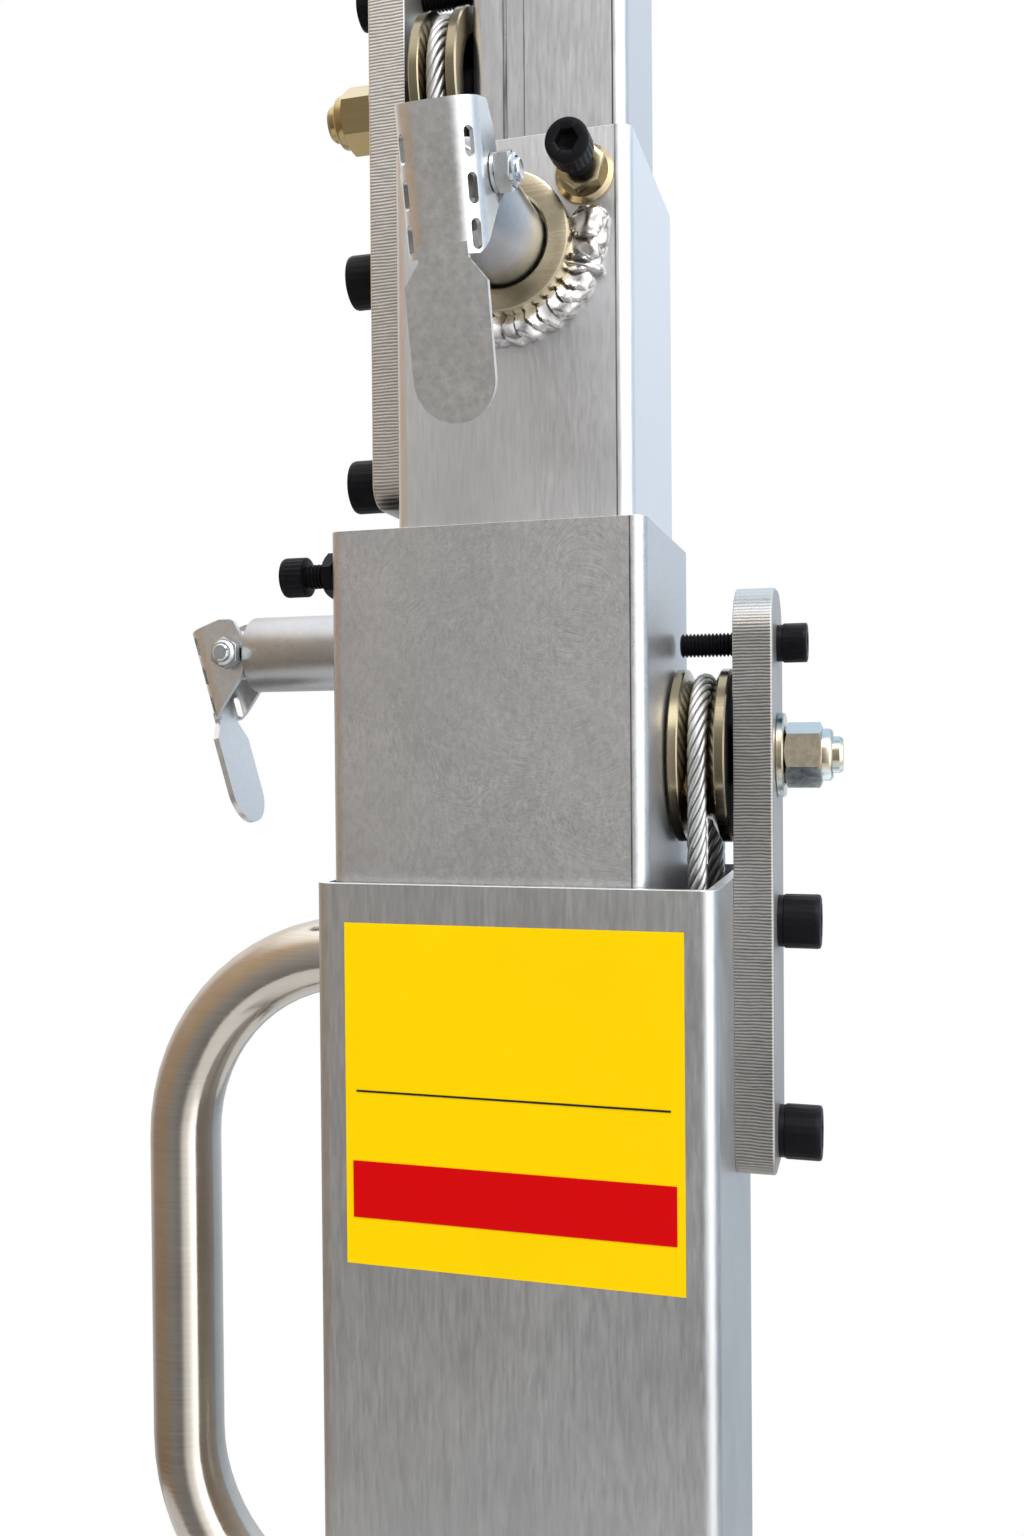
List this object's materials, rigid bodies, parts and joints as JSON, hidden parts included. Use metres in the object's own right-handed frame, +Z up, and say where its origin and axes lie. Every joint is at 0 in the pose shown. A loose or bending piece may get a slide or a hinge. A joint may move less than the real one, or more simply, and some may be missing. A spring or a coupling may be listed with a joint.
{
  "type": "lifting tower",
  "caption": "Telescopic aluminium lifting tower raised by a wire rope and hand winch, with spring pin locks, pulley heads, carrying handle and screw-jack legs.",
  "frame": {"origin": "on the floor under the axis of the outer mast tube", "axes": "+Z up the mast, -Y towards the side with the plain plate, +X towards the outer tube's pulley head"},
  "size_m": [1.6756, 1.6436, 1.8],
  "materials": {
    "mast_aluminium": "brushed mill finish",
    "plate_aluminium": "machined",
    "zinc_steel": "zinc plated",
    "black_screws": "black oxide",
    "stainless": "satin stainless",
    "sheave_steel": "yellow zinc",
    "wire_rope": "galvanised wire",
    "nylon": "natural nylon",
    "base_paint": "grey powder coat",
    "jack_zinc": "zinc plated",
    "black_plastic": "moulded",
    "wheel_rubber": "solid tyre"
  },
  "bodies": {
    "mast_1": {"mast_1_tube": "mast_aluminium", "head_1_plate": "plate_aluminium", "head_1_screws": "black_screws", "sheave_1_axle": "zinc_steel", "lock_1_housing": "zinc_steel", "adjuster_1": "black_screws", "carry_handle": "stainless", "base_frame": "base_paint", "leg_knobs": "black_plastic", "winch_frame": "base_paint", "winch_cover": "base_paint", "rope_guide": "nylon", "rope_lead": "wire_rope", "rope_run_2": "wire_rope"},
    "mast_2": {"mast_2_tube": "mast_aluminium", "sheave_2_axle": "zinc_steel", "foot_2_axle": "zinc_steel", "guide_pads_2": "nylon", "lock_2_housing": "zinc_steel", "adjuster_2": "black_screws", "rope_loop_2": "wire_rope", "rope_run_3": "wire_rope"},
    "mast_3": {"mast_3_tube": "mast_aluminium", "foot_3_bracket": "zinc_steel", "guide_pads_3": "nylon", "head_3_plate": "plate_aluminium", "head_3_screws": "black_screws", "sheave_3_axle": "zinc_steel", "lock_3_housing": "zinc_steel", "adjuster_3": "black_screws", "rope_loop_3": "wire_rope", "rope_run_4": "wire_rope"},
    "mast_4": {"mast_4_tube": "mast_aluminium", "guide_pads_4": "nylon", "rope_anchor": "zinc_steel", "top_plate": "mast_aluminium"},
    "sheave_1": {"sheave_1": "sheave_steel"},
    "sheave_2": {"sheave_2": "sheave_steel"},
    "sheave_3": {"sheave_3": "sheave_steel"},
    "foot_sheave_2": {"foot_sheave_2": "sheave_steel"},
    "foot_sheave_3": {"foot_sheave_3": "sheave_steel"},
    "lock_1_pin": {"lock_1_pin": "zinc_steel"},
    "lock_1_lever": {"lock_1_lever": "zinc_steel"},
    "lock_2_pin": {"lock_2_pin": "zinc_steel"},
    "lock_2_lever": {"lock_2_lever": "zinc_steel"},
    "lock_3_pin": {"lock_3_pin": "zinc_steel"},
    "lock_3_lever": {"lock_3_lever": "zinc_steel"},
    "winch_drum": {"winch_drum": "jack_zinc"},
    "winch_crank": {"winch_crank": "jack_zinc"},
    "winch_grip": {"winch_grip": "black_plastic"},
    "wheel_left": {"wheel_left": "wheel_rubber"},
    "wheel_right": {"wheel_right": "wheel_rubber"},
    "leg_right": {"leg_right": "base_paint"},
    "jack_right": {"jack_right": "jack_zinc"},
    "leg_back": {"leg_back": "base_paint"},
    "jack_back": {"jack_back": "jack_zinc"},
    "leg_left": {"leg_left": "base_paint"},
    "jack_left": {"jack_left": "jack_zinc"},
    "leg_front": {"leg_front": "base_paint"},
    "jack_front": {"jack_front": "jack_zinc"}
  },
  "joints": [
    {"name": "mast_2_lift", "type": "slide", "parent": "mast_1", "child": "mast_2", "axis": [0, 0, 1], "range_m": [0, 1.133], "deforming": ["rope_run_2"]},
    {"name": "mast_3_lift", "type": "slide", "parent": "mast_2", "child": "mast_3", "axis": [0, 0, 1], "range_m": [0, 1.133], "deforming": ["rope_run_3"]},
    {"name": "mast_4_lift", "type": "slide", "parent": "mast_3", "child": "mast_4", "axis": [0, 0, 1], "range_m": [0, 1.133], "deforming": ["rope_run_4"]},
    {"name": "sheave_1_turn", "type": "hinge", "parent": "mast_1", "child": "sheave_1", "pos_m": [0.05255, 0.0145, 1.439], "axis": [1, 0, 0], "continuous": true},
    {"name": "sheave_2_turn", "type": "hinge", "parent": "mast_2", "child": "sheave_2", "pos_m": [-0.04705, 0.0125, 1.425], "axis": [1, 0, 0], "continuous": true},
    {"name": "sheave_3_turn", "type": "hinge", "parent": "mast_3", "child": "sheave_3", "pos_m": [-0.02595, -0.0065, 1.657], "axis": [1, 0, 0], "continuous": true},
    {"name": "foot_sheave_2_turn", "type": "hinge", "parent": "mast_2", "child": "foot_sheave_2", "pos_m": [0.00275, -0.01, 0.109], "axis": [0, 1, 0], "continuous": true},
    {"name": "foot_sheave_3_turn", "type": "hinge", "parent": "mast_3", "child": "foot_sheave_3", "pos_m": [-0.0365, 0.002, 0.22], "axis": [0.9525, 0.3045, 0], "continuous": true},
    {"name": "lock_1_pull", "type": "slide", "parent": "mast_1", "child": "lock_1_pin", "axis": [0, 1, 0], "range_m": [0, 0.012], "stiffness_N_per_m": 900, "springref_m": -0.006},
    {"name": "lock_1_flip", "type": "hinge", "parent": "lock_1_pin", "child": "lock_1_lever", "pos_m": [-0.01, 0.1022, 1.3655], "axis": [1, 0, 0], "range_deg": [0, 90]},
    {"name": "lock_2_pull", "type": "slide", "parent": "mast_2", "child": "lock_2_pin", "axis": [-1, 0, 0], "range_m": [0, 0.012], "stiffness_N_per_m": 900, "springref_m": -0.006},
    {"name": "lock_2_flip", "type": "hinge", "parent": "lock_2_pin", "child": "lock_2_lever", "pos_m": [-0.1139, 0.006, 1.4765], "axis": [0, 1, 0], "range_deg": [0, 90]},
    {"name": "lock_3_pull", "type": "slide", "parent": "mast_3", "child": "lock_3_pin", "axis": [0, -1, 0], "range_m": [0, 0.012], "stiffness_N_per_m": 900, "springref_m": -0.006},
    {"name": "lock_3_flip", "type": "hinge", "parent": "lock_3_pin", "child": "lock_3_lever", "pos_m": [0, -0.0936, 1.5945], "axis": [-1, 0, 0], "range_deg": [0, 90]},
    {"name": "winch_drum_turn", "type": "hinge", "parent": "mast_1", "child": "winch_drum", "pos_m": [0, 0.105, 0.8], "axis": [1, 0, 0], "continuous": true},
    {"name": "winch_crank_turn", "type": "hinge", "parent": "mast_1", "child": "winch_crank", "pos_m": [0, 0.105, 0.8624], "axis": [1, 0, 0], "continuous": true},
    {"name": "winch_grip_turn", "type": "hinge", "parent": "winch_crank", "child": "winch_grip", "pos_m": [-0.14, 0.105, 0.6424], "axis": [1, 0, 0], "continuous": true},
    {"name": "leg_right_pull", "type": "slide", "parent": "mast_1", "child": "leg_right", "axis": [1, 0, 0], "range_m": [0, 0.13]},
    {"name": "jack_right_screw", "type": "slide", "parent": "leg_right", "child": "jack_right", "axis": [0, 0, -1], "range_m": [0, 0.12]},
    {"name": "leg_back_pull", "type": "slide", "parent": "mast_1", "child": "leg_back", "axis": [0, 1, 0], "range_m": [0, 0.13]},
    {"name": "jack_back_screw", "type": "slide", "parent": "leg_back", "child": "jack_back", "axis": [0, 0, -1], "range_m": [0, 0.12]},
    {"name": "leg_left_pull", "type": "slide", "parent": "mast_1", "child": "leg_left", "axis": [-1, 0, 0], "range_m": [0, 0.13]},
    {"name": "jack_left_screw", "type": "slide", "parent": "leg_left", "child": "jack_left", "axis": [0, 0, -1], "range_m": [0, 0.12]},
    {"name": "leg_front_pull", "type": "slide", "parent": "mast_1", "child": "leg_front", "axis": [0, -1, 0], "range_m": [0, 0.13]},
    {"name": "jack_front_screw", "type": "slide", "parent": "leg_front", "child": "jack_front", "axis": [0, 0, -1], "range_m": [0, 0.12]},
    {"name": "wheel_left_roll", "type": "hinge", "parent": "mast_1", "child": "wheel_left", "pos_m": [-0.085, 0.12, 0.0665], "axis": [1, 0, 0], "continuous": true},
    {"name": "wheel_right_roll", "type": "hinge", "parent": "mast_1", "child": "wheel_right", "pos_m": [0.085, 0.12, 0.0665], "axis": [1, 0, 0], "continuous": true}
  ],
  "couplings": [
    {"joint": "lock_1_flip", "follows": "lock_1_pull", "rad_per_m": 130.9},
    {"joint": "lock_2_flip", "follows": "lock_2_pull", "rad_per_m": 130.9},
    {"joint": "lock_3_flip", "follows": "lock_3_pull", "rad_per_m": 130.9},
    {"joint": "winch_crank_turn", "follows": "winch_drum_turn", "ratio": -4.1667}
  ]
}
